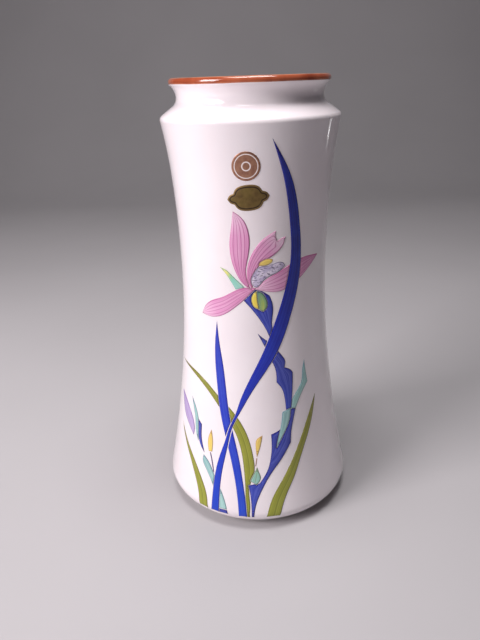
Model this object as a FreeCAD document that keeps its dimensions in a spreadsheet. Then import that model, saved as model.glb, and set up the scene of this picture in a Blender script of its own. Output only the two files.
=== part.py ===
import FreeCAD, Part
import math
import os
import Sketcher

# Porcelain vase: a turned, waisted body on a foot ring, glazed inside and out, with an
# iron-brown rim and a spray of leaves and one flower painted in raised enamels.
# Every fired layer is a solid of its own and lies face to face on the layer below.
# Units are millimetres. +Z is up, the axis of the vase is Z, and it stands on Z = 0.
# The painted side faces -Y.

doc = FreeCAD.newDocument("PorcelainVase")
sheet = doc.addObject("Spreadsheet::Sheet", "Sizes")

DRIVING_SIZES = {
    "height": 249.1,
    # the wall: three long hollow sweeps, tangent to each other, narrowest at the waist
    "waist_radius": 41.8,
    "waist_height": 153.0,
    "lower_sweep": 800.0,
    "middle_sweep": 580.0,
    "upper_sweep": 270.0,
    "lower_join": 87.5,
    "upper_join": 200.0,
    # the turned-under base and the foot ring
    "underside": 3.5,
    "base_round": 7.5,
    "ring_outer": 49.0,
    "ring_inner": 43.5,
    "ring_round": 0.8,
    "ring_fillet": 1.0,
    # the shoulder, the neck and the lip
    "shoulder_slope": 36.0,
    "shoulder_round": 2.6,
    "neck_radius": 38.5,
    "neck_height": 239.6,
    "neck_low_sweep": 5.0,
    "neck_high_sweep": 7.7,
    "lip_round": 2.05,
    "band_start": 25.0,
    "band_inside": 8.0,
    # the hollow inside
    "floor_height": 8.5,
    "floor_corner": 10.0,
    "inner_shoulder": 3.0,
    # the fired layers
    "glaze": 0.3,
    "enamel": 0.22,
    "enamel_bottom": 9.5,
    "outline_gap": 0.15,
    "crossing_gap": 0.38,
    "reach": 70.0,
    # the gilt roundel and the foil label
    "roundel_radius": 6.9,
    "roundel_side": -2.5,
    "roundel_height": 209.9,
    "label_side": -1.7,
    "label_height": 194.8,
    "label_tilt": 5.0,
}

for row, (name, value) in enumerate(DRIVING_SIZES.items(), start=1):
    sheet.set("A%d" % row, name)
    sheet.set("B%d" % row, str(value))
    sheet.setAlias("B%d" % row, name)
doc.recompute()


def size(name):
    return float(sheet.get(name))


def point(across, up):
    return FreeCAD.Vector(across, up, 0)


def direction(degrees):
    return point(math.cos(math.radians(degrees)), math.sin(math.radians(degrees)))


def unit(vector):
    return FreeCAD.Vector(vector).normalize()


# ---------------------------------------------------------------- the turned profile
# A contour is a list of joints and a list of arcs between them. A joint is a point on the
# glazed surface and the surface's outward normal there, so a layer's own surface is the
# same list with every joint moved along its normal. An arc is its centre and the
# expression for its radius; a straight run has no centre. A centre in the air gives a
# hollow sweep, whose radius shrinks as the surface moves outwards; a centre in the clay
# gives a rounding, whose radius grows. HOLLOW and ROUND say which.

HOLLOW, ROUND = -1, 1
STRAIGHT = (None, "", 0)

waist_centre = point(size("waist_radius") + size("middle_sweep"), size("waist_height"))


def on_middle_sweep(up):
    rise = up - size("waist_height")
    return point(waist_centre.x - math.sqrt(size("middle_sweep") ** 2 - rise ** 2), up)


low_join = on_middle_sweep(size("lower_join"))
high_join = on_middle_sweep(size("upper_join"))
low_normal = unit(waist_centre - low_join)
high_normal = unit(waist_centre - high_join)
lower_centre = low_join + low_normal * size("lower_sweep")
upper_centre = high_join + high_normal * size("upper_sweep")


def beside_lower_sweep(up, distance):
    """Centre, at a given height, of a circle this far outside or inside the lower sweep."""
    reach = size("lower_sweep") + distance
    return point(lower_centre.x - math.sqrt(reach ** 2 - (up - lower_centre.y) ** 2), up)


base_centre = beside_lower_sweep(size("underside") + size("base_round"), size("base_round"))
base_normal = unit(lower_centre - base_centre)
base_joint = base_centre + base_normal * size("base_round")

neck_low_centre = point(size("neck_radius") + size("neck_low_sweep"), size("neck_height"))
neck_high_centre = point(size("neck_radius") + size("neck_high_sweep"), size("neck_height"))
slope_down = direction(-size("shoulder_slope"))
slope_normal = direction(90 - size("shoulder_slope"))
slope_top = neck_low_centre - slope_normal * size("neck_low_sweep")


def under_slope(depth, wall_distance):
    """Centre this deep under the shoulder's slope and this far inside the upper sweep."""
    start = slope_top - slope_normal * depth - upper_centre
    reach = size("upper_sweep") + wall_distance
    along = start.dot(slope_down)
    run = -along - math.sqrt(along ** 2 - start.dot(start) + reach ** 2)
    return upper_centre + start + slope_down * run


shoulder_centre = under_slope(size("shoulder_round"), size("shoulder_round"))
shoulder_normal = unit(upper_centre - shoulder_centre)

lip_rise = size("height") - size("lip_round") - size("neck_height")
lip_angle = math.degrees(math.asin(lip_rise / (size("neck_high_sweep") + size("lip_round"))))
lip_out = direction(180 - lip_angle)
lip_centre = neck_high_centre + lip_out * (size("neck_high_sweep") + size("lip_round"))
wall = 2 * size("lip_round")


def rounding(centre, normal, name):
    return centre + normal * size(name), normal


BASE_ARC = (base_centre, "Sizes.base_round", ROUND)
LOWER_ARC = (lower_centre, "Sizes.lower_sweep", HOLLOW)
MIDDLE_ARC = (waist_centre, "Sizes.middle_sweep", HOLLOW)
UPPER_ARC = (upper_centre, "Sizes.upper_sweep", HOLLOW)
LIP_ARC = (lip_centre, "Sizes.lip_round", ROUND)

wall_joints = [
    (base_joint, base_normal),
    (low_join, low_normal),
    (high_join, high_normal),
    rounding(shoulder_centre, shoulder_normal, "shoulder_round"),
]
wall_arcs = [LOWER_ARC, MIDDLE_ARC, UPPER_ARC]

outer_joints = [rounding(base_centre, direction(-90), "base_round")] + wall_joints + [
    rounding(shoulder_centre, slope_normal, "shoulder_round"),
    (slope_top, slope_normal),
    (point(size("neck_radius"), size("neck_height")), direction(0)),
    (lip_centre - lip_out * size("lip_round"), lip_out * -1),
    rounding(lip_centre, direction(-size("band_start")), "lip_round"),
]
outer_arcs = [BASE_ARC] + wall_arcs + [
    (shoulder_centre, "Sizes.shoulder_round", ROUND),
    STRAIGHT,
    (neck_low_centre, "Sizes.neck_low_sweep", HOLLOW),
    (neck_high_centre, "Sizes.neck_high_sweep", HOLLOW),
    LIP_ARC,
]

band_end = direction(180 - lip_angle + size("band_inside"))
INNER_NECK_HIGH = (neck_high_centre, "Sizes.neck_high_sweep + 2 * Sizes.lip_round", ROUND)
INNER_NECK_LOW = (neck_low_centre, "Sizes.neck_low_sweep + 2 * Sizes.lip_round", ROUND)


def inside_neck(centre, sweep, normal):
    return centre + normal * (size(sweep) + wall), normal


band_joints = [
    outer_joints[-1],
    rounding(lip_centre, direction(90), "lip_round"),
    rounding(lip_centre, lip_out, "lip_round"),
    inside_neck(neck_high_centre, "neck_high_sweep", band_end),
]
band_arcs = [LIP_ARC, LIP_ARC, INNER_NECK_HIGH]

inner_shoulder_centre = under_slope(wall + size("inner_shoulder"), wall + size("inner_shoulder"))
inner_shoulder_side = unit(upper_centre - inner_shoulder_centre)
corner_up = size("floor_height") + size("floor_corner")
corner_centre = beside_lower_sweep(corner_up, wall + size("floor_corner"))
corner_side = unit(lower_centre - corner_centre)

inner_joints = [
    band_joints[-1],
    inside_neck(neck_low_centre, "neck_low_sweep", direction(180)),
    inside_neck(neck_low_centre, "neck_low_sweep", slope_normal * -1),
    (inner_shoulder_centre + slope_normal * size("inner_shoulder"), slope_normal * -1),
    (inner_shoulder_centre + inner_shoulder_side * size("inner_shoulder"), inner_shoulder_side * -1),
    (high_join - high_normal * wall, high_normal * -1),
    (low_join - low_normal * wall, low_normal * -1),
    (corner_centre + corner_side * size("floor_corner"), corner_side * -1),
    (point(corner_centre.x, size("floor_height")), direction(90)),
    (point(0, size("floor_height")), direction(90)),
]
inner_arcs = [
    INNER_NECK_HIGH,
    INNER_NECK_LOW,
    STRAIGHT,
    (inner_shoulder_centre, "Sizes.inner_shoulder", HOLLOW),
    (upper_centre, "Sizes.upper_sweep + 2 * Sizes.lip_round", ROUND),
    (waist_centre, "Sizes.middle_sweep + 2 * Sizes.lip_round", ROUND),
    (lower_centre, "Sizes.lower_sweep + 2 * Sizes.lip_round", ROUND),
    (corner_centre, "Sizes.floor_corner", HOLLOW),
    STRAIGHT,
]


# ---------------------------------------------------------------- sketches and bodies
def surface(joints, arcs, offset_name, sign):
    """Runs along a contour moved out by sign times a sheet value: (start, end, centre, expression)."""
    shift = sign * size(offset_name)
    places = [joint + normal * shift for joint, normal in joints]
    runs = []
    for start, end, (centre, radius, kind) in zip(places, places[1:], arcs):
        moved = "%s %s Sizes.%s" % (radius, "+" if kind * sign > 0 else "-", offset_name)
        runs.append((start, end, centre, moved if sign else radius))
    return runs


def backwards(runs):
    return [(end, start, centre, radius) for start, end, centre, radius in reversed(runs)]


def straight(*places):
    return [(start, end, None, "") for start, end in zip(places, places[1:])]


def closed(*parts):
    """Join runs into a ring, with a straight step wherever two of them do not meet."""
    ring = []
    for part in parts:
        if ring:
            ring += straight(ring[-1][1], part[0][0])
        ring += part
    ring += straight(ring[-1][1], ring[0][0])
    return [run for run in ring if run[0].distanceToPoint(run[1]) > 1e-6]


def short_arc(start, end, centre):
    """The arc of less than half a turn from start to end, and which of its ends is the start."""
    towards_start = start - centre
    towards_end = end - centre
    turns_left = towards_start.cross(towards_end).z > 0
    first, last = (towards_start, towards_end) if turns_left else (towards_end, towards_start)
    circle = Part.Circle(centre, FreeCAD.Vector(0, 0, 1), towards_start.Length)
    low = math.atan2(first.y, first.x)
    high = math.atan2(last.y, last.x)
    if high < low:
        high += 2 * math.pi
    return Part.ArcOfCircle(circle, low, high), turns_left


def fill_sketch(sketch, ring):
    """Draw a closed ring of lines and arcs, joined end to end, with radii bound to the sheet."""
    ends = []
    for start, end, centre, radius in ring:
        if centre is None:
            index = sketch.addGeometry(Part.LineSegment(start, end), False)
            ends.append((index, 1, 2))
            continue
        arc, forwards = short_arc(start, end, centre)
        index = sketch.addGeometry(arc, False)
        ends.append((index, 1, 2) if forwards else (index, 2, 1))
        datum = Sketcher.Constraint("Radius", index, (start - centre).Length)
        sketch.setExpression("Constraints[%d]" % sketch.addConstraint(datum), radius)
    for before, after in zip(ends, ends[1:] + ends[:1]):
        sketch.addConstraint(Sketcher.Constraint("Coincident", before[0], before[2], after[0], after[1]))


def turned(label, ring):
    """A body made by turning a closed ring of lines and arcs about the vase's axis."""
    body = doc.addObject("PartDesign::Body", label)
    body.Label = label
    plane = [item for item in body.Origin.OriginFeatures if item.Role == "XZ_Plane"][0]
    sketch = body.newObject("Sketcher::SketchObject", label + "_profile")
    sketch.AttachmentSupport = [(plane, "")]
    sketch.MapMode = "FlatFace"
    fill_sketch(sketch, ring)
    turn = body.newObject("PartDesign::Revolution", label + "_turn")
    turn.Profile = sketch
    turn.ReferenceAxis = (sketch, ["V_Axis"])
    turn.Angle = 360
    body.Tip = turn
    body.Placement = FreeCAD.Placement()
    return body


def foot_ring_runs(ceiling):
    """The bare foot ring, from the body's underside outside the ring to the axis inside it."""
    fillet = size("ring_fillet")
    bead = size("ring_round")
    outside = size("ring_outer")
    inside = size("ring_inner")
    return [
        (point(outside + fillet, ceiling), point(outside, ceiling - fillet),
         point(outside + fillet, ceiling - fillet), "Sizes.ring_fillet"),
        *straight(point(outside, ceiling - fillet), point(outside, bead)),
        (point(outside, bead), point(outside - bead, 0), point(outside - bead, bead), "Sizes.ring_round"),
        *straight(point(outside - bead, 0), point(inside + bead, 0)),
        (point(inside + bead, 0), point(inside, bead), point(inside + bead, bead), "Sizes.ring_round"),
        *straight(point(inside, bead), point(inside, ceiling - fillet)),
        (point(inside, ceiling - fillet), point(inside - fillet, ceiling),
         point(inside - fillet, ceiling - fillet), "Sizes.ring_fillet"),
        *straight(point(inside - fillet, ceiling), point(0, ceiling)),
    ]


clay_outside = surface(outer_joints, outer_arcs, "glaze", -1)
clay_lip = surface(band_joints, band_arcs, "glaze", -1)
clay_inside = surface(inner_joints, inner_arcs, "glaze", -1)
glaze_outside = surface(outer_joints, outer_arcs, "glaze", 0)
glaze_lip = surface(band_joints, band_arcs, "glaze", 0)
glaze_inside = surface(inner_joints, inner_arcs, "glaze", 0)
clay_underside = size("underside") + size("glaze")
base_glaze_edge = size("ring_inner") - size("ring_fillet")

vessel = clay_outside + clay_lip + clay_inside
foot = backwards(foot_ring_runs(clay_underside))
base_disc = straight(
    point(0, size("underside")),
    point(base_glaze_edge, size("underside")),
    point(base_glaze_edge, clay_underside),
    point(0, clay_underside),
)

nodes = [
    turned("porcelain_body", closed(vessel, foot)),
    turned("outer_glaze", closed(glaze_outside, backwards(clay_outside))),
    turned("rim_band", closed(glaze_lip, backwards(clay_lip))),
    turned("inner_glaze", closed(glaze_inside, backwards(clay_inside))),
    turned("base_glaze", closed(base_disc)),
]

# The skin that all the painting is cut from: one enamel thick, on the glazed wall.
bottom_drop = base_centre.y - size("enamel_bottom")
bottom_normal = direction(-math.degrees(math.asin(bottom_drop / size("base_round"))))
skin_joints = [rounding(base_centre, bottom_normal, "base_round")] + wall_joints
skin_arcs = [BASE_ARC] + wall_arcs
skin = turned("enamel_skin", closed(
    surface(skin_joints, skin_arcs, "enamel", 1),
    backwards(surface(skin_joints, skin_arcs, "enamel", 0)),
))


# ---------------------------------------------------------------- the painting
# Each painted patch is an outline on an upright plane through the axis, turned to face
# one way round the vase, and pushed outwards through the skin. An outline is a list of
# strokes: each stroke is a smooth line through its points, and a corner or a straight
# end is left between one stroke and the next.

def moved_out(stroke, margin, inward):
    """A stroke pushed sideways by a margin, away from the patch's middle."""
    places = []
    for before, place, after in zip(stroke[:1] + stroke, stroke, stroke[1:] + stroke[-1:]):
        along = unit(after - before)
        places.append(place + point(along.y, -along.x) * (margin * inward))
    return places


def turn_of(strokes):
    """1 if the outline runs with its inside on the left, else -1."""
    ring = [place for stroke in strokes for place in stroke]
    area = sum(a.cross(b).z for a, b in zip(ring, ring[1:] + ring[:1]))
    return 1 if area > 0 else -1


def edge_through(stroke):
    if len(stroke) == 2:
        return Part.LineSegment(*stroke)
    spline = Part.BSplineCurve()
    spline.interpolate(stroke)
    return spline


def outline_sketch(label, facing, strokes, margin):
    sketch = doc.addObject("Sketcher::SketchObject", label)
    upright = FreeCAD.Rotation(FreeCAD.Vector(1, 0, 0), 90)
    turned_to = FreeCAD.Rotation(FreeCAD.Vector(0, 0, 1), facing)
    sketch.Placement = FreeCAD.Placement(FreeCAD.Vector(), turned_to * upright)
    drawn = [[point(*place) for place in stroke] for stroke in strokes]
    if margin:
        side = turn_of(drawn)
        drawn = [moved_out(stroke, margin, side) for stroke in drawn]
    for stroke, following in zip(drawn, drawn[1:] + drawn[:1]):
        sketch.addGeometry(edge_through(stroke), False)
        if stroke[-1].distanceToPoint(following[0]) > 1e-6:
            sketch.addGeometry(Part.LineSegment(stroke[-1], following[0]), False)
    return sketch


def pushed_out(label, sketch):
    prism = doc.addObject("Part::Extrusion", label)
    prism.Base = sketch
    prism.DirMode = "Normal"
    prism.Solid = True
    prism.setExpression("LengthFwd", "Sizes.reach")
    return prism


def on_skin(label, prism):
    patch = doc.addObject("Part::Common", label)
    patch.Base = skin
    patch.Tool = prism
    return patch


outlines = {}


def painted(label, facing, strokes, under=(), gap="outline_gap"):
    """One enamel patch. Where it passes under other patches it stops a gap short of them."""
    outlines[label] = (facing, strokes)
    prism = pushed_out(label + "_prism", outline_sketch(label + "_outline", facing, strokes, 0))
    patch = on_skin(label if not under else label + "_whole", prism)
    for number, upper in enumerate(under, start=1):
        upper_facing, upper_strokes = outlines[upper]
        name = "%s_under_%s" % (label, upper)
        wider = outline_sketch(name + "_outline", upper_facing, upper_strokes, size(gap))
        cut = doc.addObject("Part::Cut", label if number == len(under) else name)
        cut.Base = patch
        cut.Tool = pushed_out(name + "_prism", wider)
        patch = cut
    patch.Label = label
    nodes.append(patch)


# The leaves and stems, front ones first.
painted("leaf_tall_blue", 0, [
    [(10, 222.5), (15.4, 204), (18.8, 180), (19.4, 165), (17.2, 149), (11.9, 131), (3.3, 109),
     (-9.5, 81), (-12.6, 72), (-15.6, 65.3), (-18.3, 57), (-22.7, 44), (-26.8, 25), (-29, 6)],
    [(-24.2, 6), (-23.2, 20), (-20.8, 37), (-17.2, 52.6), (-13.6, 66.1), (-9.4, 74.6), (-1.9, 88.4),
     (11.8, 110), (19.3, 129.6), (23.3, 146), (24.8, 164), (23.9, 180), (18.8, 205.3), (10, 222.5)],
])
painted("leaf_short_blue", 0, [
    [(-20.4, 128), (-22, 115), (-22.4, 104), (-21.8, 87.5), (-20.4, 71), (-18.2, 58.8), (-13.9, 35),
     (-12.2, 18), (-11.8, 6)],
    [(-6.9, 6), (-7.6, 20), (-8.8, 31), (-10.5, 44.6), (-15.3, 71.2), (-17.9, 101.7), (-19.5, 115),
     (-20.4, 128)],
], under=["leaf_tall_blue"], gap="crossing_gap")
painted("sheath_teal", 0, [
    [(14.5, 74), (19.5, 75.4)],
    [(19.5, 75.4), (18.4, 67.6), (14.2, 58.4), (11.1, 52.4)],
    [(11.1, 52.4), (12, 58), (13.3, 63.7), (14.5, 74)],
])
painted("bud_right_calyx", 0, [
    [(-0.4, 41.5), (-2.5, 37), (-4.6, 32.6)],
    [(-4.6, 32.6), (-0.8, 30.3)],
    [(-0.8, 30.3), (1.6, 34.6), (0.6, 38.5), (-0.4, 41.5)],
])
painted("stem_lower", 0, [
    [(22.3, 74.4), (21, 68), (19.9, 62), (19.4, 54.3)],
    [(19.4, 54.3), (14.2, 45.6), (8.1, 37.4), (2.1, 26.6), (-1.9, 15.5), (-3, 6)],
    [(-4.2, 6), (-4.2, 14), (-4.6, 22.5), (-5.6, 29.9)],
    [(-5.6, 29.9), (-0.8, 31), (0.8, 31.2)],
    [(0.8, 31.2), (5.2, 38.3), (7.5, 46.5), (8.2, 55), (7.9, 61.2)],
    [(7.9, 61.2), (13, 63.5), (19.4, 74.8)],
], under=["sheath_teal", "bud_right_calyx"])
painted("leaf_bent_green", -35, [
    [(-28.2, 93.8), (-9.8, 92.4), (-1.7, 88.7), (4.6, 83.8), (12.3, 77.5), (22.9, 62.1), (27.2, 48),
     (28.4, 37), (26.9, 28.4), (28.3, 17.9), (28.5, 6)],
    [(25.9, 6), (25.6, 19.4), (24.5, 30.1), (22.9, 41), (15.7, 64.3), (5.9, 76.9), (-1, 83.7),
     (-14.1, 91), (-28.2, 93.8)],
], under=["leaf_tall_blue", "leaf_short_blue", "stem_lower", "bud_right_calyx"])
painted("leaf_left_green", -50, [
    [(-13.6, 53.4), (-7.5, 44.3), (0, 34.5), (5.8, 25.5), (10.4, 15), (12, 6)],
    [(18.2, 6), (16.3, 17), (10.5, 27.5), (2.7, 37), (-7, 46.5), (-13.6, 53.4)],
])
painted("leaf_right_green", 20, [
    [(21.3, 78.5), (16.1, 68.9), (10.6, 58.1), (3.8, 45.4), (-4.7, 31.7), (-10.9, 21.9), (-16.4, 6)],
    [(-8.4, 6), (-3, 21.3), (3.3, 32.5), (8.6, 43.9), (14.7, 56.5), (18.9, 67.7), (21.3, 78.5)],
])
painted("bract_middle", 0, [
    [(10.5, 113.5), (15.1, 107.1), (16.2, 104.9), (16, 100.6)],
    [(16, 100.6), (19.3, 98.5), (20.7, 96.5)],
    [(20.7, 96.5), (20.5, 87), (19.7, 75.3)],
    [(19.7, 75.3), (16.7, 74.2)],
    [(16.7, 74.2), (15.9, 82.3), (14, 88.8), (11.4, 92.5)],
    [(11.4, 92.5), (11.2, 98), (8.9, 105.2), (5, 110)],
], under=["leaf_tall_blue", "sheath_teal"])
painted("sprig_teal", 20, [
    [(13.8, 102.2), (12.2, 95.7), (11.2, 89.2), (7.4, 84), (4.3, 79.5)],
    [(4.3, 79.5), (3.6, 75)],
    [(6.7, 74.3), (10.8, 81.8), (15.7, 88.1)],
    [(15.7, 88.1), (14.7, 94.8), (13.8, 102.2)],
], under=["bract_middle", "stem_lower", "sheath_teal"])
painted("bud_right_yellow", 0, [
    [(3, 61), (-0.2, 58.9), (-1, 54.5), (-0.7, 50), (-0.4, 47.5)],
    [(-0.4, 47.5), (1.8, 54.5), (3, 61)],
])
painted("bud_right_stalk", 0, [
    [(-0.7, 47), (-1.5, 42)],
    [(-1, 42), (-0.2, 47)],
], under=["bud_right_calyx"])

# The flower, front petals first.
painted("flower_lip", 0, [
    [(-0.7, 149.3), (-1.3, 151.6), (0.7, 156.8), (2.5, 158.9), (7.4, 159.7), (12.8, 161.1), (15.5, 160.3),
     (16.3, 158.9)],
    [(16.3, 158.9), (15.1, 157.4), (7.7, 153.5), (4.8, 151.3), (1.3, 148.1), (-0.7, 149.3)],
])
painted("flower_crest_yellow", 0, [
    [(2.7, 159.8), (3.4, 161.5), (5, 162.6), (7.8, 163.3), (9.8, 162.9)],
    [(9.8, 162.9), (9.7, 161.6), (8.1, 160.4), (5.3, 159.7), (2.7, 159.8)],
], under=["flower_lip"])
painted("petal_upper_left", 0, [
    [(-9.6, 188.2), (-5.1, 184.7), (-2.2, 178.5), (-1.6, 171.5), (-3, 162.7), (-3.9, 157), (-3.2, 151.7),
     (-1.8, 147.3)],
    [(-1.8, 147.3), (-5, 149.6), (-8.9, 155.6), (-11.4, 164), (-11.8, 172.5), (-10.7, 180),
     (-9.6, 188.2)],
])
painted("petal_upper_right", 0, [
    [(11.6, 177.6), (5.8, 174.3), (1, 169.1), (-2.4, 162), (-3.5, 155), (-2.7, 150.5), (-1.1, 147.3)],
    [(-1.1, 147.3), (0.5, 152), (2.4, 159), (6.5, 162.6), (11.4, 165.6), (15.2, 169.8), (16.6, 174.2)],
    [(16.6, 174.2), (14, 173.2), (12.4, 172.2)],
    [(12.4, 172.2), (11.6, 174.5), (11.6, 177.6)],
], under=["petal_upper_left", "flower_lip", "flower_crest_yellow"])
painted("petal_lower_left", 0, [
    [(-28.5, 130.3), (-26.3, 135.5), (-22.5, 139.3), (-17, 142), (-9.4, 146.5), (-3, 148.2), (1.3, 147.8)],
    [(1.3, 147.8), (-2.4, 144.2), (-5.3, 141.2), (-9.7, 137.2), (-14.2, 133.5), (-17.4, 131.5),
     (-23, 129.7), (-28.5, 130.3)],
], under=["petal_upper_left", "petal_upper_right", "flower_lip"])
painted("petal_right", 20, [
    [(-14, 148.3), (-9.7, 151.1), (-5.4, 153.9), (-0.3, 156.4), (3.8, 158.4), (12.7, 161.2),
     (24.2, 160.4)],
    [(24.2, 160.4), (18.7, 155.8), (11.8, 150.6), (6.5, 147.4), (2, 145.6), (-3, 144.9), (-7.6, 145.5),
     (-13.4, 147)],
], under=["leaf_tall_blue", "flower_lip", "petal_lower_left"])
painted("bract_left", 0, [
    [(-17.5, 158.6), (-14, 157.2), (-11.6, 155), (-8.5, 151.9), (-4.7, 148.1)],
    [(-4.7, 148.1), (-9.5, 146.9)],
    [(-9.5, 146.9), (-12.4, 152.1), (-14.6, 155.4), (-17.5, 158.6)],
], under=["petal_upper_left", "petal_lower_left"])
painted("calyx_yellow", 0, [
    [(1.5, 146.2), (-0.2, 145), (-1.3, 142.7), (-1.2, 139.7), (0.3, 137), (2.6, 135.9)],
    [(2.6, 135.9), (1.7, 141), (1.5, 146.2)],
], under=["petal_lower_left", "petal_right"])
painted("calyx_green", 0, [
    [(1.2, 146.2), (4, 145.2), (5.8, 142.8), (6.9, 139.3), (6.2, 135.9), (4.6, 134.5)],
    [(4.6, 134.5), (2.4, 135.8)],
    [(2.4, 135.8), (1.4, 141), (1.2, 146.2)],
], under=["calyx_yellow", "petal_right"])
painted("stem_upper", 0, [
    [(-6.4, 141.8), (-1.7, 136.4), (2.5, 130.4), (6.7, 122.6), (8.6, 117)],
    [(8.6, 117), (12, 119)],
    [(12, 119), (9.3, 126), (9.9, 134.8), (9.4, 139.5), (8, 143.3)],
    [(8, 143.3), (1, 147), (-6.4, 141.8)],
], under=["leaf_tall_blue", "petal_lower_left", "petal_right", "calyx_yellow", "calyx_green"])
painted("stem_thorn", 0, [
    [(1.4, 122.2), (4.5, 119.2), (9.2, 115.6)],
    [(9.2, 115.6), (7, 110)],
    [(7, 110), (5.2, 114.2), (3.4, 118), (1.4, 122.2)],
], under=["leaf_tall_blue"], gap="crossing_gap")

# The buds at the left.
painted("bud_left_lavender", -50, [
    [(-16.3, 73.5), (-13.8, 66), (-10.5, 60.5), (-4.5, 55.5), (0.7, 51.3)],
    [(0.7, 51.3), (1.2, 56), (-0.3, 60.6), (-5, 66.5), (-11, 71.3), (-16.3, 73.5)],
])
painted("sheath_left_blue", -50, [
    [(4.2, 63.6), (7.3, 61.2)],
    [(7.3, 61.2), (7.9, 53), (11.2, 44)],
    [(11.2, 44), (7.6, 47.5), (5.4, 52), (4.7, 57.5), (4.2, 63.6)],
])
painted("sheath_left_teal", -50, [
    [(-3.3, 75.6), (0.6, 71), (4, 64.3), (5, 57), (5.4, 49.4)],
    [(5.4, 49.4), (2.9, 54), (1.2, 62.5), (-1.2, 70), (-3.3, 75.6)],
], under=["sheath_left_blue", "bud_left_lavender"])
painted("stem_left_teal", -50, [
    [(10.6, 42.8), (14.8, 39.6), (19.3, 32.6), (25.1, 23.2), (28.6, 15.3), (29.6, 12.6)],
    [(29.6, 12.6), (24.1, 12.6)],
    [(24.1, 12.6), (20, 24.2), (15.8, 31.2), (12.6, 35.2), (10.3, 39), (10.6, 42.8)],
], under=["leaf_tall_blue", "sheath_left_blue"])
painted("stem_left_foot", -50, [
    [(24.2, 12.2), (29.7, 12.2)],
    [(29.7, 12.2), (30.8, 6)],
    [(25.4, 6), (24.2, 12.2)],
], under=["leaf_tall_blue"])
painted("bud_left_yellow", -50, [
    [(14.6, 60.6), (12.8, 53.4), (14, 46.4)],
    [(14, 46.4), (16.4, 46.7)],
    [(16.4, 46.7), (16.2, 53.7), (14.6, 60.6)],
])
painted("bud_left_stalk", -50, [
    [(14.9, 45.8), (16.8, 40), (18.4, 34)],
    [(19.1, 34), (17.5, 40.3), (15.6, 45.8)],
], under=["stem_left_teal"])


# ---------------------------------------------------------------- gilding and label
def add_roundel():
    """A plain gilt disc, laid on the wall above the flower."""
    sketch = outline_sketch("gilt_roundel_outline", 0, [], 0)
    centre = point(size("roundel_side"), size("roundel_height"))
    circle = Part.Circle(centre, FreeCAD.Vector(0, 0, 1), size("roundel_radius"))
    index = sketch.addGeometry(circle, False)
    datum = sketch.addConstraint(Sketcher.Constraint("Radius", index, size("roundel_radius")))
    sketch.setExpression("Constraints[%d]" % datum, "Sizes.roundel_radius")
    nodes.append(on_skin("gilt_roundel", pushed_out("gilt_roundel_prism", sketch)))


def add_label():
    """A blank foil label: a flat oval with a small lobe at each end, slightly tilted."""
    quarter = [
        [(10.3, 0), (9, 1.9), (7.1, 2.7)],
        [(7.1, 2.7), (5.7, 4.9), (3.1, 6.1), (0, 6.4)],
    ]
    strokes = quarter + [
        [(-across, up) for across, up in stroke[::-1]] for stroke in quarter[::-1]
    ]
    strokes += [[(-across, -up) for across, up in stroke] for stroke in strokes]
    tilt = direction(size("label_tilt"))
    placed = [
        [(size("label_side") + across * tilt.x - up * tilt.y,
          size("label_height") + across * tilt.y + up * tilt.x) for across, up in stroke]
        for stroke in strokes
    ]
    sketch = outline_sketch("foil_label_outline", 0, placed, 0)
    nodes.append(on_skin("foil_label", pushed_out("foil_label_prism", sketch)))


add_roundel()
add_label()
doc.recompute()

# ---------------------------------------------------------------- checks and files
for item in doc.Objects:
    if "Invalid" in item.State or "Error" in item.State:
        raise RuntimeError("%s did not build: %s" % (item.Label, item.State))

os.makedirs("parts", exist_ok=True)
for node in nodes:
    shape = node.Shape
    if shape.isNull() or not shape.isValid() or shape.Volume <= 0:
        raise RuntimeError("%s has no valid solid" % node.Label)
    shape.exportStep("parts/%s.step" % node.Label)
    print("%-20s %d solid(s) %10.2f mm3" % (node.Label, len(shape.Solids), shape.Volume))
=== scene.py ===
import math

import bpy
import numpy as np
from mathutils import Matrix, Vector, noise
from mathutils.geometry import delaunay_2d_cdt


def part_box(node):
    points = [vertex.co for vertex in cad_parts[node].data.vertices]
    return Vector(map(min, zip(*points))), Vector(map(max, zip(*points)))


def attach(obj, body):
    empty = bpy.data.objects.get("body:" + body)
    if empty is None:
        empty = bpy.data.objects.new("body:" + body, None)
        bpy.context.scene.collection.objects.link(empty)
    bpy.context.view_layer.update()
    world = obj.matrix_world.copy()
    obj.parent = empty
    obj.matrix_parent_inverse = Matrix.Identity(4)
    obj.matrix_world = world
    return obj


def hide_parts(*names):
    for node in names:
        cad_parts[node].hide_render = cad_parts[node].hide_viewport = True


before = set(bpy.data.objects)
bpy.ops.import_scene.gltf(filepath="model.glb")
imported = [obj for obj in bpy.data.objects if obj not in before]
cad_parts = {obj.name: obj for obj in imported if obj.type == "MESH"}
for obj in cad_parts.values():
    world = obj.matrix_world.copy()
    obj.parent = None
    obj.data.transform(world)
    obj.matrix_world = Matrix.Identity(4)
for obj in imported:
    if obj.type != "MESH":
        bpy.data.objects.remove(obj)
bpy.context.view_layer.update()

# The vase's own sizes, in millimetres. +Z is up and the painted side faces -Y.
MM = 0.001
HEIGHT = 1000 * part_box("rim_band")[1].z
WAIST_RADIUS, WAIST_HEIGHT = 41.8, 153.0
LOWER_SWEEP, MIDDLE_SWEEP, UPPER_SWEEP = 800.0, 580.0, 270.0
LOWER_JOIN, UPPER_JOIN = 87.5, 200.0
UNDERSIDE, BASE_ROUND = 3.5, 7.5
RING_OUTER, RING_INNER, RING_ROUND, RING_FILLET = 49.0, 43.5, 0.8, 1.0
SHOULDER_SLOPE, SHOULDER_ROUND = 36.0, 2.6
NECK_RADIUS, NECK_HEIGHT = 38.5, 239.6
NECK_LOW_SWEEP, NECK_HIGH_SWEEP = 5.0, 7.7
LIP_ROUND, BAND_START, BAND_INSIDE = 2.05, 25.0, 8.0
FLOOR_HEIGHT, FLOOR_CORNER, INNER_SHOULDER = 8.5, 10.0, 3.0
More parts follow.
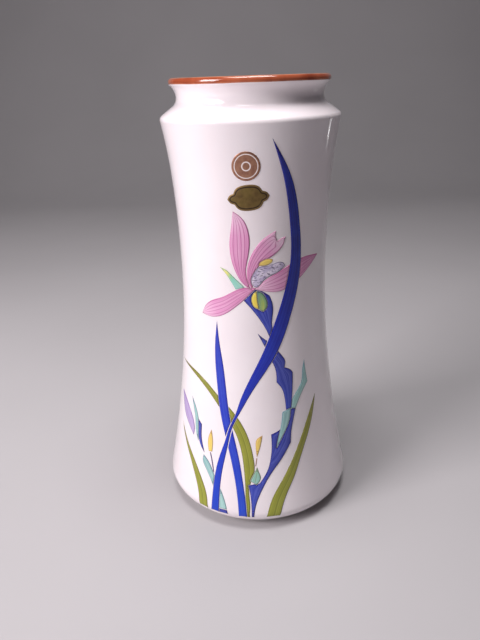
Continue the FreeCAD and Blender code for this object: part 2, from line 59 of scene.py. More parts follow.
GLAZE, ENAMEL, ENAMEL_BOTTOM = 0.3, 0.22, 9.5
OUTLINE_GAP, CROSSING_GAP = 0.15, 0.38
WALL = 2 * LIP_ROUND
ROUND_SEGMENTS = 256


# ---------------------------------------------------------------- the turned profile
def vec(across, up):
    return Vector((across, up))


def direction(degrees):
    return vec(math.cos(math.radians(degrees)), math.sin(math.radians(degrees)))


waist_centre = vec(WAIST_RADIUS + MIDDLE_SWEEP, WAIST_HEIGHT)


def on_middle_sweep(up):
    return vec(waist_centre.x - math.sqrt(MIDDLE_SWEEP ** 2 - (up - WAIST_HEIGHT) ** 2), up)


low_join, high_join = on_middle_sweep(LOWER_JOIN), on_middle_sweep(UPPER_JOIN)
low_normal = (waist_centre - low_join).normalized()
high_normal = (waist_centre - high_join).normalized()
lower_centre = low_join + low_normal * LOWER_SWEEP
upper_centre = high_join + high_normal * UPPER_SWEEP


def beside_lower_sweep(up, distance):
    reach = LOWER_SWEEP + distance
    return vec(lower_centre.x - math.sqrt(reach ** 2 - (up - lower_centre.y) ** 2), up)


base_centre = beside_lower_sweep(UNDERSIDE + BASE_ROUND, BASE_ROUND)
base_normal = (lower_centre - base_centre).normalized()
neck_low_centre = vec(NECK_RADIUS + NECK_LOW_SWEEP, NECK_HEIGHT)
neck_high_centre = vec(NECK_RADIUS + NECK_HIGH_SWEEP, NECK_HEIGHT)
slope_down = direction(-SHOULDER_SLOPE)
slope_normal = direction(90 - SHOULDER_SLOPE)
slope_top = neck_low_centre - slope_normal * NECK_LOW_SWEEP


def under_slope(depth, wall_distance):
    start = slope_top - slope_normal * depth - upper_centre
    along = start.dot(slope_down)
    run = -along - math.sqrt(along ** 2 - start.dot(start) + (UPPER_SWEEP + wall_distance) ** 2)
    return upper_centre + start + slope_down * run


shoulder_centre = under_slope(SHOULDER_ROUND, SHOULDER_ROUND)
shoulder_normal = (upper_centre - shoulder_centre).normalized()
lip_angle = math.degrees(math.asin((HEIGHT - LIP_ROUND - NECK_HEIGHT) / (NECK_HIGH_SWEEP + LIP_ROUND)))
lip_out = direction(180 - lip_angle)
lip_centre = neck_high_centre + lip_out * (NECK_HIGH_SWEEP + LIP_ROUND)

outer_joints = [
    (base_centre + direction(-90) * BASE_ROUND, direction(-90)),
    (base_centre + base_normal * BASE_ROUND, base_normal),
    (low_join, low_normal),
    (high_join, high_normal),
    (shoulder_centre + shoulder_normal * SHOULDER_ROUND, shoulder_normal),
    (shoulder_centre + slope_normal * SHOULDER_ROUND, slope_normal),
    (slope_top, slope_normal),
    (vec(NECK_RADIUS, NECK_HEIGHT), direction(0)),
    (lip_centre - lip_out * LIP_ROUND, -lip_out),
    (lip_centre + direction(-BAND_START) * LIP_ROUND, direction(-BAND_START)),
]
outer_centres = [base_centre, lower_centre, waist_centre, upper_centre, shoulder_centre, None,
                 neck_low_centre, neck_high_centre, lip_centre]

band_end = direction(180 - lip_angle + BAND_INSIDE)
band_joints = [
    outer_joints[-1],
    (lip_centre + direction(90) * LIP_ROUND, direction(90)),
    (lip_centre + lip_out * LIP_ROUND, lip_out),
    (neck_high_centre + band_end * (NECK_HIGH_SWEEP + WALL), band_end),
]
band_centres = [lip_centre, lip_centre, neck_high_centre]

inner_shoulder_centre = under_slope(WALL + INNER_SHOULDER, WALL + INNER_SHOULDER)
inner_shoulder_side = (upper_centre - inner_shoulder_centre).normalized()
corner_centre = beside_lower_sweep(FLOOR_HEIGHT + FLOOR_CORNER, WALL + FLOOR_CORNER)
corner_side = (lower_centre - corner_centre).normalized()
inner_joints = [
    band_joints[-1],
    (vec(NECK_RADIUS - WALL, NECK_HEIGHT), direction(180)),
    (neck_low_centre - slope_normal * (NECK_LOW_SWEEP + WALL), -slope_normal),
    (inner_shoulder_centre + slope_normal * INNER_SHOULDER, -slope_normal),
    (inner_shoulder_centre + inner_shoulder_side * INNER_SHOULDER, -inner_shoulder_side),
    (high_join - high_normal * WALL, -high_normal),
    (low_join - low_normal * WALL, -low_normal),
    (corner_centre + corner_side * FLOOR_CORNER, -corner_side),
    (vec(corner_centre.x, FLOOR_HEIGHT), direction(90)),
    (vec(0, FLOOR_HEIGHT), direction(90)),
]
inner_centres = [neck_high_centre, neck_low_centre, None, inner_shoulder_centre, upper_centre,
                 waist_centre, lower_centre, corner_centre, None]


def walk(joints, centres, shift, step=1.5, turn=math.radians(6)):
    """Points along a contour moved out by shift: close together on tight rounds, further on sweeps."""
    places = [joint + normal * shift for joint, normal in joints]
    points = [places[0]]
    for start, end, centre in zip(places, places[1:], centres):
        if centre is None:
            count = max(1, round((end - start).length / step))
            points += [start.lerp(end, k / count) for k in range(1, count + 1)]
            continue
        first, last = start - centre, end - centre
        angle = math.atan2(first.cross(last), first.dot(last))
        count = max(1, math.ceil(abs(angle) / turn), round(first.length * abs(angle) / step))
        for k in range(1, count + 1):
            swing = Matrix.Rotation(angle * k / count, 2)
            points.append(centre + swing @ first)
    return points


def wall_at(up):
    """Radius and outward normal of the glazed wall at a height between the base and the shoulder."""
    if up < base_centre.y + base_normal.y * BASE_ROUND:
        centre, reach, side = base_centre, BASE_ROUND, 1
    elif up < LOWER_JOIN:
        centre, reach, side = lower_centre, LOWER_SWEEP, -1
    elif up < UPPER_JOIN:
        centre, reach, side = waist_centre, MIDDLE_SWEEP, -1
    else:
        centre, reach, side = upper_centre, UPPER_SWEEP, -1
    rise = up - centre.y
    across = centre.x + side * math.sqrt(reach ** 2 - rise ** 2)
    return across, (vec(across, up) - centre).normalized() * side


# ---------------------------------------------------------------- meshes
def new_piece(name, verts, faces, material, replaced, sharp=35):
    mesh = bpy.data.meshes.new(name)
    mesh.from_pydata([Vector(v) * MM for v in verts], [], faces)
    mesh.validate()
    mesh.shade_smooth()
    mesh.set_sharp_from_angle(angle=math.radians(sharp))
    piece = bpy.data.objects.new(name, mesh)
    bpy.context.scene.collection.objects.link(piece)
    mesh.materials.append(material)
    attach(piece, "root")
    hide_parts(*replaced)
    return piece


def turned(name, ring, material, replaced, sway=None):
    """Turn a closed ring of (radius, height) points about the axis; sway may move a point by its angle."""
    verts, faces, rows = [], [], []
    for radius, up in ring:
        if radius < 1e-4:
            rows.append([len(verts)] * ROUND_SEGMENTS)
            verts.append((0, 0, up))
            continue
        rows.append(list(range(len(verts), len(verts) + ROUND_SEGMENTS)))
        for k in range(ROUND_SEGMENTS):
            angle = 2 * math.pi * k / ROUND_SEGMENTS
            out, high = sway(radius, up, angle) if sway else (radius, up)
            verts.append((out * math.sin(angle), -out * math.cos(angle), high))
    for low, high in zip(rows, rows[1:] + rows[:1]):
        if low[0] == low[1] and high[0] == high[1]:
            continue
        for k in range(ROUND_SEGMENTS):
            following = (k + 1) % ROUND_SEGMENTS
            corners = [low[k], low[following], high[following], high[k]]
            faces.append(list(dict.fromkeys(corners)))
    return new_piece(name, verts, faces, material, replaced)


def layer(joints, centres, inner_shift, outer_shift):
    """The closed ring between two shifted copies of a contour."""
    return walk(joints, centres, outer_shift) + walk(joints, centres, inner_shift)[::-1]


# ---------------------------------------------------------------- painted outlines
UNROLL = 48.0   # the wall is unrolled on to a cylinder of this radius, to draw and cut outlines flat


def smooth_line(points, step):
    """Points about a step apart on a smooth line through the given ones. Two give a straight line."""
    knots = np.array(points, float)
    chord = np.hypot(*np.diff(knots, axis=0).T)
    at = np.r_[0, np.cumsum(chord)]
    where = np.linspace(0, at[-1], max(2, int(round(at[-1] / step)) + 1))
    if len(points) == 2:
        return np.c_[np.interp(where, at, knots[:, 0]), np.interp(where, at, knots[:, 1])]
    count = len(knots)
    system, right = np.eye(count), np.zeros((count, 2))
    for k in range(1, count - 1):
        before, after = chord[k - 1], chord[k]
        system[k, k - 1:k + 2] = before, 2 * (before + after), after
        right[k] = 6 * ((knots[k + 1] - knots[k]) / after - (knots[k] - knots[k - 1]) / before)
    bend = np.linalg.solve(system, right)
    span = np.clip(np.searchsorted(at, where, side="right") - 1, 0, count - 2)
    gap = chord[span][:, None]
    near, far = (where - at[span])[:, None], (at[span + 1] - where)[:, None]
    return (bend[span] * far ** 3 / (6 * gap) + bend[span + 1] * near ** 3 / (6 * gap)
            + (knots[span] / gap - bend[span] * gap / 6) * far
            + (knots[span + 1] / gap - bend[span + 1] * gap / 6) * near)


def unrolled(points, facing):
    """Points on an upright plane that faces one way, laid on the unrolled wall."""
    flat = []
    for across, up in points:
        radius = wall_at(max(up, ENAMEL_BOTTOM))[0]
        angle = math.radians(facing) + math.asin(max(-1, min(1, across / radius)))
        flat.append((angle * UNROLL, up))
    return np.array(flat)


def rolled_up(flat, height):
    """A point of the unrolled wall back on the vase, lifted off the glaze."""
    angle, up = flat[0] / UNROLL, flat[1]
    radius, normal = wall_at(up)
    radius += normal.x * height
    return (radius * math.sin(angle), -radius * math.cos(angle), up + normal.y * height)


def segment_distance(points, ring):
    """Distance from each point to the closed ring."""
    start, end = ring, np.roll(ring, -1, axis=0)
    along = end - start
    length = np.maximum((along ** 2).sum(1), 1e-12)
    best = np.full(len(points), 1e9)
    for a, d, l in zip(start, along, length):
        t = np.clip(((points - a) @ d) / l, 0, 1)
        best = np.minimum(best, np.hypot(*(points - a - t[:, None] * d).T))
    return best


def inside(points, ring):
    x, y = points.T
    result = np.zeros(len(points), bool)
    for (x0, y0), (x1, y1) in zip(ring, np.roll(ring, -1, axis=0)):
        crosses = (y0 > y) != (y1 > y)
        with np.errstate(divide="ignore", invalid="ignore"):
            result ^= crosses & (x < (x1 - x0) * (y - y0) / (y1 - y0) + x0)
    return result


def pushed(ring, margin):
    """A closed ring grown outwards by a margin."""
    before, after = np.roll(ring, 1, axis=0), np.roll(ring, -1, axis=0)
    along = after - before
    along /= np.maximum(np.hypot(*along.T), 1e-9)[:, None]
    area = (before[:, 0] * ring[:, 1] - before[:, 1] * ring[:, 0]).sum()
    return ring + np.c_[along[:, 1], -along[:, 0]] * margin * math.copysign(1, area)


def cleaned(ring):
    keep = np.hypot(*(ring - np.roll(ring, 1, axis=0)).T) > 0.02
    return ring[keep]


def spine_of(strokes):
    """Middle line of an outline: between its two long strokes, or along its longest direction."""
    if len(strokes) == 2:
        one, other = strokes[0], strokes[1][::-1]
        fractions = np.linspace(0, 1, 40)
        sides = []
        for side in (one, other):
            at = np.r_[0, np.cumsum(np.hypot(*np.diff(side, axis=0).T))]
            sides.append(np.c_[[np.interp(fractions * at[-1], at, side[:, k]) for k in (0, 1)]].T)
        return (sides[0] + sides[1]) / 2
    ring = np.vstack(strokes)
    middle = ring.mean(0)
    axis = np.linalg.svd(ring - middle)[2][0]
    reach = (ring - middle) @ axis
    return np.array([middle + axis * reach.min(), middle + axis * reach.max()])


def along_spine(points, spine):
    """How far along the spine each point lies, and how far to its side."""
    at = np.r_[0, np.cumsum(np.hypot(*np.diff(spine, axis=0).T))]
    best = np.full(len(points), 1e9)
    along, side = np.zeros(len(points)), np.zeros(len(points))
    for k, (a, b) in enumerate(zip(spine, spine[1:])):
        d = b - a
        length = max(np.hypot(*d), 1e-9)
        t = np.clip(((points - a) @ d) / length ** 2, 0, 1)
        off = points - a - t[:, None] * d
        distance = np.hypot(*off.T)
        nearer = distance < best
        best[nearer] = distance[nearer]
        along[nearer] = (at[k] + t * length)[nearer]
        side[nearer] = (np.sign(d[0] * off[:, 1] - d[1] * off[:, 0]) * distance)[nearer]
    return along / at[-1], side, at[-1]


outlines = {}
EDGE_STEP, GRID = 0.45, 0.9   # spacing of mesh points along an edge, and between them inside
ROW_PITCH = 0.87              # height of a grid row, as a share of the grid's spacing
BEVEL = 0.22                  # width of the rounded edge
EDGE_LIFT = 0.15              # height of the enamel at its very edge, as a share of the whole
SUNK = 0.03                   # how far a patch's underside reaches into the glaze


def clearance(points, rings):
    """Distance from each point to the nearest of several rings."""
    return np.min([segment_distance(points, ring) for ring in rings], axis=0)


def filling(ring, rings):
    """Points to mesh an outline with: a shelf one bevel in from each edge, then a staggered grid."""
    low, high = ring.min(0), ring.max(0)
    xs, ys = np.arange(low[0], high[0], GRID), np.arange(low[1], high[1], GRID * ROW_PITCH)
    grid = np.array([(x + GRID / 2 * (row % 2), y) for row, y in enumerate(ys) for x in xs])
    grid = grid[inside(grid, ring)]
    if len(grid):
        grid = grid[clearance(grid, rings) > EDGE_STEP * 1.2]
    shelf = np.vstack([pushed(one, BEVEL if number else -BEVEL) for number, one in enumerate(rings)])
    shelf = shelf[inside(shelf, ring) & (clearance(shelf, rings) > BEVEL * 0.9)]
    return [tuple(p) for p in shelf] + [tuple(p) for p in grid]


def meshed(ring, cutters):
    """Flat points and triangles of an outline, less its cutters and all below the enamel's bottom."""
    rings = [ring] + cutters
    points, edges = [], []
    for one in rings:
        first = len(points)
        points += [tuple(p) for p in one]
        edges += [(first + k, first + (k + 1) % len(one)) for k in range(len(one))]
    edges.append((len(points), len(points) + 1))
    points += [(ring[:, 0].min() - 5, ENAMEL_BOTTOM), (ring[:, 0].max() + 5, ENAMEL_BOTTOM)]
    points += filling(ring, rings)
    flat, _, faces, *_ = delaunay_2d_cdt([Vector(p) for p in points], edges, [], 0, 1e-4)
    flat = np.array([tuple(p) for p in flat])
    centres = np.array([flat[list(face)].mean(0) for face in faces])
    kept = inside(centres, ring) & (centres[:, 1] > ENAMEL_BOTTOM)
    for one in cutters:
        kept &= ~inside(centres, one)
    faces = [face for face, keep in zip(faces, kept) if keep]
    used = sorted({corner for face in faces for corner in face})
    index = {corner: k for k, corner in enumerate(used)}
    return flat[used], [[index[corner] for corner in face] for face in faces]


def closed_shell(faces, count):
    """The faces of a top, the same faces of a bottom whose points follow the top's, and its walls."""
    sides = {(a, b) for face in faces for a, b in zip(face, face[1:] + face[:1])}
    border = [(a, b) for face in faces for a, b in zip(face, face[1:] + face[:1]) if (b, a) not in sides]
    bottom = [[corner + count for corner in face[::-1]] for face in faces]
    return faces + bottom + [[b, a, a + count, b + count] for a, b in border]


def store_uv(piece, name, values):
    """Give the piece a UV map from one pair of values per vertex."""
    corners = np.empty(len(piece.data.loops), np.int32)
    piece.data.loops.foreach_get("vertex_index", corners)
    uv = piece.data.uv_layers.new(name=name)
    uv.data.foreach_set("uv", values[corners].astype(np.float32).ravel())


def patch(name, facing, strokes, material, under=(), gap=OUTLINE_GAP, spine=None, relief=None):
    """A raised patch on the wall: a fine mesh inside its outline, with a rounded edge.
    Its UV maps are for its brush marks. "Grain" is how far along the spine, and how far across it, each
    0 to 1. "Edge" is the distance to the edge in centimetres, and the run along the spine in tenths of
    a metre."""
    drawn = [unrolled(smooth_line(stroke, EDGE_STEP), facing) for stroke in strokes]
    ring = cleaned(np.vstack(drawn))
    outlines[name] = ring
    cutters = [cleaned(pushed(outlines[upper], gap)) for upper in under]
    flat, faces = meshed(ring, cutters)

    edge = clearance(flat, [ring] + cutters)
    edge = np.minimum(edge, np.maximum(flat[:, 1] - ENAMEL_BOTTOM, 0))
    rise = np.sqrt(np.clip(1 - (1 - np.clip(edge / BEVEL, 0, 1)) ** 2, 0, 1))
    lift = ENAMEL * (EDGE_LIFT + (1 - EDGE_LIFT) * rise)
    if relief:
        lift = lift + np.array([relief(*p) for p in flat]) * rise
    top = [rolled_up(p, h) for p, h in zip(flat, lift)]
    bottom = [rolled_up(p, -SUNK) for p in flat]
    shell = closed_shell(faces, len(flat))
    piece = new_piece(name, top + bottom, shell, material, [name], sharp=60)

    line = unrolled(smooth_line(spine, 2), facing) if spine else spine_of(drawn)
    along, side, length = along_spine(flat, line)
    across = side / np.maximum(np.abs(side) + segment_distance(flat, ring), 1e-6)
    store_uv(piece, "Grain", np.tile(np.c_[along, across * 0.5 + 0.5], (2, 1)))
    store_uv(piece, "Edge", np.tile(np.c_[edge / 10, along * length / 100], (2, 1)))


# ---------------------------------------------------------------- materials
class Nodes:
    """A short way to write a material's nodes."""

    def __init__(self, name):
        self.material = bpy.data.materials.new(name)
        self.material.use_nodes = True
        self.tree = self.material.node_tree
        self.shader = self.tree.nodes["Principled BSDF"]

    def set(self, **values):
        for name, value in values.items():
            self.shader.inputs[name.replace("_", " ")].default_value = value

    def add(self, kind, inputs=(), **settings):
        node = self.tree.nodes.new(kind)
        for name, value in settings.items():
            setattr(node, name, value)
        for key, value in dict(inputs).items():
            if isinstance(value, bpy.types.NodeSocket):
                self.tree.links.new(value, node.inputs[key])
            else:
                node.inputs[key].default_value = value
        return node

    def link(self, socket, name):
        self.tree.links.new(socket, self.shader.inputs[name])

    def math(self, operation, a, b=0.0, c=0.0):
        return self.add("ShaderNodeMath", {0: a, 1: b, 2: c}, operation=operation).outputs[0]

    def mix(self, factor, a, b):
        return self.add("ShaderNodeMix", {0: factor, 6: a, 7: b}, data_type="RGBA").outputs[2]

    def tinted(self, colour, mask, amount, over):
        """The colour with another laid over it, as strongly as the mask says."""
        return self.mix(self.math("MULTIPLY", mask, amount), colour, over)

    def steps(self, value, *stops):
        node = self.add("ShaderNodeValToRGB", {0: value})
        ramp = node.color_ramp
        while len(ramp.elements) < len(stops):
            ramp.elements.new(0.5)
        for element, (place, colour) in zip(ramp.elements, stops):
            element.position = place
            element.color = colour
        return node.outputs[0]

    def smooth(self, value, low, high):
        """0 below low, 1 above high, and smooth between; falls instead of rising if high is below low."""
        swap = high < low
        inputs = {"Value": value, "From Min": min(low, high), "From Max": max(low, high),
                  "To Min": float(swap), "To Max": float(not swap)}
        return self.add("ShaderNodeMapRange", inputs, interpolation_type="SMOOTHSTEP").outputs[0]

    def place(self, scale=(1, 1, 1)):
        object_place = self.add("ShaderNodeTexCoord").outputs["Object"]
        return self.add("ShaderNodeMapping", {"Vector": object_place, "Scale": scale}).outputs[0]

    def height(self):
        return self.add("ShaderNodeSeparateXYZ", {0: self.place()}).outputs[2]

    def noise(self, vector, scale, detail=3.0, rough=0.5):
        inputs = {"Vector": vector, "Scale": scale, "Detail": detail, "Roughness": rough}
        return self.add("ShaderNodeTexNoise", inputs).outputs["Fac"]

    def uv(self, name):
        split = self.add("ShaderNodeSeparateXYZ", {0: self.add("ShaderNodeUVMap", uv_map=name).outputs[0]})
        return split.outputs[0], split.outputs[1]

    def brush(self, across, run, count, length, seed):
        """Coordinates for brush lines: count of them side by side, each about a length long."""
        inputs = {0: self.math("MULTIPLY", across, count), 1: self.math("DIVIDE", run, length), 2: seed}
        return self.add("ShaderNodeCombineXYZ", inputs).outputs[0]

    def bump(self, height, distance, strength=1.0):
        inputs = {"Height": height, "Distance": distance, "Strength": strength}
        self.link(self.add("ShaderNodeBump", inputs).outputs[0], "Normal")


def rgb(red, green, blue):
    """An sRGB colour, 0 to 255, as a shader takes it."""
    linear = [c / 12.92 if c <= 0.04045 else ((c + 0.055) / 1.055) ** 2.4
              for c in (red / 255, green / 255, blue / 255)]
    return (*linear, 1.0)


def porcelain_glaze():
    """Clear glaze on white porcelain: faintly cloudy, with a few iron specks and fine orange peel."""
    n = Nodes("porcelain_glaze")
    tint = n.steps(n.noise(n.place(), 22.0, 4.0), (0.35, rgb(247, 236, 240)), (0.65, rgb(251, 242, 245)))
    specks = n.add("ShaderNodeTexVoronoi", {"Vector": n.place(), "Scale": 150.0}).outputs["Distance"]
    rare = n.smooth(n.noise(n.place(), 34.0, 0.0), 0.66, 0.70)
    dots = n.math("MULTIPLY", n.smooth(specks, 0.045, 0.02), rare)
    n.link(n.tinted(tint, dots, 0.7, rgb(150, 128, 108)), "Base Color")
    n.set(Roughness=0.10, IOR=1.52, Coat_Weight=0.35, Coat_Roughness=0.03,
          Subsurface_Weight=0.12, Subsurface_Radius=(0.004, 0.003, 0.0025), Subsurface_Scale=0.6)
    peel = n.noise(n.place(), 300.0, 2.0)
    swell = n.noise(n.place(), 30.0, 2.0)
    n.bump(n.math("ADD", n.math("MULTIPLY", peel, 0.10), swell), 0.00025, 0.5)
    return n.material


def biscuit():
    """Bare fired porcelain on the foot ring: matt, slightly grey, gritty, darker in patches towards its
    bottom edge.
    """
    n = Nodes("biscuit")
    grit = n.noise(n.place(), 1400.0, 3.0)
    # Darker in noisy patches over the lowest 2.4 mm of the ring, towards where it stands.
    darker_low = n.math("MULTIPLY", n.smooth(n.height(), 0.0024, 0.0), n.noise(n.place(), 120.0))
    clay = n.steps(grit, (0.3, rgb(214, 207, 196)), (0.7, rgb(232, 227, 219)))
    n.link(n.tinted(clay, darker_low, 1.0, rgb(158, 142, 124)), "Base Color")
    n.set(Roughness=0.72)
    n.bump(grit, 0.00012)
    return n.material


def rim_brown():
    """Iron glaze on the lip: orange-brown and thin at both its edges, darker and redder where it pools."""
    n = Nodes("rim_brown")
    streak = n.noise(n.place((1, 1, 0.25)), 150.0, 4.0)
    height = n.math("MULTIPLY_ADD", streak, 0.0016, n.height())
    low_edge = n.smooth(height, 0.2478, 0.2466)
    crown = n.smooth(n.height(), 0.24865, 0.24905)
    cloud = n.noise(n.place(), 60.0, 2.0)
    pool = n.mix(n.smooth(cloud, 0.35, 0.65), rgb(154, 72, 46), rgb(178, 94, 64))
    colour = n.tinted(pool, low_edge, 0.75, rgb(208, 130, 88))
    colour = n.tinted(colour, crown, 0.55, rgb(228, 170, 134))
    n.link(n.tinted(colour, n.smooth(streak, 0.5, 0.75), 0.4, rgb(118, 48, 28)), "Base Color")
    n.set(Roughness=0.14, IOR=1.5, Coat_Weight=0.5, Coat_Roughness=0.04)
    n.bump(streak, 0.00010, 0.5)
    return n.material


def enamel(name, stops, streak, edge, lines=14.0, streaks=0.5, edge_width=0.4, edge_amount=0.6,
           veins=0, vein=None, middle=None):
    """Raised enamel, coloured along its grain, with lengthwise brush streaks and a darker pooled edge.
    veins is how many vein lines run along it; middle colours one broader line down its centre."""
    n = Nodes(name)
    along, across = n.uv("Grain")
    edge_cm, run = n.uv("Edge")
    colour = n.steps(along, *stops)
    fine = n.noise(n.brush(across, run, lines, 14.0, 3.7), 1.0, 3.0, 0.6)
    broad = n.noise(n.brush(across, run, lines * 0.3, 22.0, 9.1), 1.0, 2.0)
    colour = n.tinted(colour, n.smooth(fine, 0.46, 0.66), streaks, streak)
    colour = n.tinted(colour, n.smooth(broad, 0.48, 0.66), streaks * 0.7, streak)
    colour = n.tinted(colour, n.smooth(fine, 0.44, 0.30), streaks * 0.6, edge)
    colour = n.tinted(colour, n.smooth(n.noise(n.place(), 130.0), 0.42, 0.75), 0.2, streak)
    if middle:
        centre = n.math("ABSOLUTE", n.math("SUBTRACT", across, 0.5))
        wavering = n.math("MULTIPLY_ADD", fine, 0.10, centre)
        colour = n.tinted(colour, n.smooth(wavering, 0.13, 0.06), 0.7, middle)
    relief = fine
    if veins:
        sway = n.math("MULTIPLY", n.noise(n.brush(across, run, 1.5, 16.0, 5.2), 1.0, 1.0), 0.16)
        wave = n.math("SINE", n.math("MULTIPLY", n.math("ADD", across, sway), veins * 2 * math.pi))
        ridge = n.smooth(wave, 0.62, 0.97)
        colour = n.tinted(colour, ridge, 0.72, vein)
        relief = n.math("ADD", fine, n.math("MULTIPLY", ridge, 0.8))
    line = n.math("MULTIPLY_ADD", fine, edge_width * 0.02, edge_cm)
    colour = n.tinted(colour, n.smooth(line, edge_width * 0.15, edge_width * 0.05), edge_amount, edge)
    n.link(colour, "Base Color")
    n.set(Roughness=0.24, IOR=1.5, Coat_Weight=0.1, Coat_Roughness=0.06)
    n.bump(relief, 0.00010, 0.6)
    return n.material


def lip_enamel():
    """The flower's pale lip: mottled lavender-grey, a grey outline, and short dark brush dashes."""
    n = Nodes("enamel_lip")
    _, across = n.uv("Grain")
    edge_cm, run = n.uv("Edge")
    cloud = n.noise(n.place(), 260.0, 3.0)
    colour = n.mix(n.smooth(cloud, 0.4, 0.6), rgb(186, 174, 206), rgb(226, 216, 234))
    wash = n.noise(n.brush(across, run, 7.0, 5.0, 1.3), 1.0, 2.0)
    colour = n.tinted(colour, n.smooth(wash, 0.5, 0.62), 0.6, rgb(174, 168, 198))
    dashes = n.noise(n.place((1, 1, 2.4)), 620.0, 1.0)
    marked = n.math("MULTIPLY", n.smooth(dashes, 0.56, 0.62), n.smooth(edge_cm, 0.05, 0.09))
    colour = n.tinted(colour, marked, 0.85, rgb(92, 84, 112))
    colour = n.tinted(colour, n.smooth(edge_cm, 0.055, 0.03), 0.85, rgb(112, 106, 126))
    n.link(colour, "Base Color")
    n.set(Roughness=0.22, IOR=1.52, Coat_Weight=0.25, Coat_Roughness=0.08)
    n.bump(wash, 0.00010, 0.6)
    return n.material


def ring_mask(n, radius, centre, half_width):
    """1 within half a width of a circle, or of a line at a fixed distance from an edge."""
    off = n.math("ABSOLUTE", n.math("SUBTRACT", radius, centre))
    return n.smooth(off, half_width * 1.3, half_width * 0.7)


def gilding():
    """Burnished gilt: rosy gold, with bare glaze showing in two ring grooves, and a little wear."""
    n = Nodes("gilding")
    split = n.add("ShaderNodeSeparateXYZ", {0: n.place()})
    side = n.math("ADD", split.outputs[0], -ROUNDEL_SIDE * MM)
    rise = n.math("SUBTRACT", split.outputs[2], ROUNDEL_HEIGHT * MM)
    radius = n.math("SQRT", n.math("ADD", n.math("MULTIPLY", side, side), n.math("MULTIPLY", rise, rise)))
    wear = n.noise(n.place(), 600.0, 3.0)
    wide_ring = ring_mask(n, radius, WIDE_GROOVE * MM, 0.00022)
    bare = n.math("MAXIMUM", wide_ring, ring_mask(n, radius, NARROW_GROOVE * MM, 0.00030))
    gold = n.steps(wear, (0.3, rgb(152, 106, 88)), (0.7, rgb(180, 134, 108)))
    n.link(n.tinted(gold, bare, 0.9, rgb(246, 236, 236)), "Base Color")
    n.link(n.math("MULTIPLY_ADD", bare, -0.55, 0.55), "Metallic")
    n.link(n.math("MULTIPLY_ADD", wear, 0.25, 0.22), "Roughness")
    n.bump(wear, 0.00006, 0.5)
    return n.material


def label_foil():
    """A blank embossed foil label: dull bronze with an olive cast, a dark rim and a thin inner border."""
    n = Nodes("label_foil")
    edge_cm, _ = n.uv("Edge")
    grain = n.noise(n.place(), 500.0, 2.0)
    foil = n.steps(grain, (0.3, rgb(98, 78, 42)), (0.7, rgb(122, 98, 56)))
    cloud = n.smooth(n.noise(n.place(), 90.0, 2.0), 0.4, 0.65)
    foil = n.tinted(foil, cloud, 0.5, rgb(128, 110, 54))
    rim = n.smooth(edge_cm, 0.075, 0.06)
    border = ring_mask(n, edge_cm, 0.115, 0.03)
    foil = n.tinted(foil, rim, 0.6, rgb(146, 118, 78))
    n.link(n.tinted(foil, border, 0.9, rgb(44, 26, 18)), "Base Color")
    n.set(Metallic=0.45, Roughness=0.42)
    n.bump(n.math("MULTIPLY_ADD", grain, 0.2, n.math("MULTIPLY", border, -1.0)), 0.00008)
    return n.material


# The gilt roundel: a plain disc, faintly domed, with two ring grooves.
ROUNDEL_RADIUS, ROUNDEL_SIDE, ROUNDEL_HEIGHT = 6.9, -2.5, 209.9
WIDE_GROOVE, NARROW_GROOVE = 5.6, 2.0

WHITE_GLAZE, BISCUIT, RIM_BROWN = porcelain_glaze(), biscuit(), rim_brown()
BLUE = enamel(
    "enamel_blue",
    [(0.0, rgb(24, 20, 112)), (0.22, rgb(10, 14, 112)), (0.45, rgb(4, 24, 150)),
     (0.75, rgb(2, 40, 182)), (1.0, rgb(2, 62, 194))],
    rgb(34, 66, 200), rgb(34, 8, 100), 16.0, 0.45, 0.35, 0.6,
)
BLUE_PALE = enamel(
    "enamel_blue_pale",
    [(0.0, rgb(40, 44, 168)), (0.3, rgb(14, 34, 172)), (0.6, rgb(2, 38, 184)), (1.0, rgb(2, 66, 196))],
    rgb(60, 92, 214), rgb(24, 22, 140), 12.0, 0.45, 0.4, 0.5,
)
VIOLET = enamel(
    "enamel_violet",
    [(0.0, rgb(16, 34, 140)), (0.5, rgb(28, 44, 154)), (1.0, rgb(12, 52, 176))],
    rgb(96, 108, 202), rgb(38, 16, 92), 11.0, 0.6, 0.4, 0.8,
)
GREEN = enamel(
    "enamel_green",
    [(0.0, rgb(104, 96, 50)), (0.25, rgb(134, 134, 40)), (1.0, rgb(142, 148, 38))],
    rgb(170, 172, 78), rgb(104, 98, 52), 9.0, 0.5, 0.5, 0.65, middle=rgb(104, 108, 24),
)
SAGE = enamel(
    "enamel_sage",
    [(0.0, rgb(120, 152, 128)), (0.5, rgb(168, 188, 92)), (1.0, rgb(196, 200, 96))],
    rgb(92, 142, 122), rgb(52, 78, 92), 6.0, 0.8, 0.5, 0.8,
)
PINK = enamel(
    "enamel_pink",
    [(0.0, rgb(238, 206, 226)), (0.3, rgb(224, 152, 198)), (1.0, rgb(204, 112, 168))],
    rgb(238, 192, 220), rgb(178, 98, 140), 12.0, 0.45, 0.4, 0.6, 5, rgb(186, 96, 152),
)
LAVENDER = enamel(
    "enamel_lavender",
    [(0.0, rgb(150, 120, 182)), (0.5, rgb(170, 146, 200)), (1.0, rgb(188, 166, 210))],
    rgb(196, 180, 218), rgb(126, 104, 160), 8.0, 0.6, 0.5, 0.7,
)
LIP = lip_enamel()
YELLOW = enamel(
    "enamel_yellow",
    [(0.0, rgb(216, 178, 86)), (1.0, rgb(232, 204, 88))],
    rgb(246, 226, 140), rgb(172, 132, 84), 6.0, 0.5, 0.4, 0.8,
)
CALYX_YELLOW = enamel(
    "enamel_calyx_yellow",
    [(0.0, rgb(240, 220, 84)), (1.0, rgb(240, 206, 70))],
    rgb(246, 232, 132), rgb(96, 104, 84), 5.0, 0.4, 0.4, 0.7,
)
TEAL = enamel(
    "enamel_teal",
    [(0.0, rgb(118, 164, 170)), (1.0, rgb(150, 198, 192))],
    rgb(184, 218, 214), rgb(84, 112, 134), 8.0, 0.6, 0.4, 0.65,
)
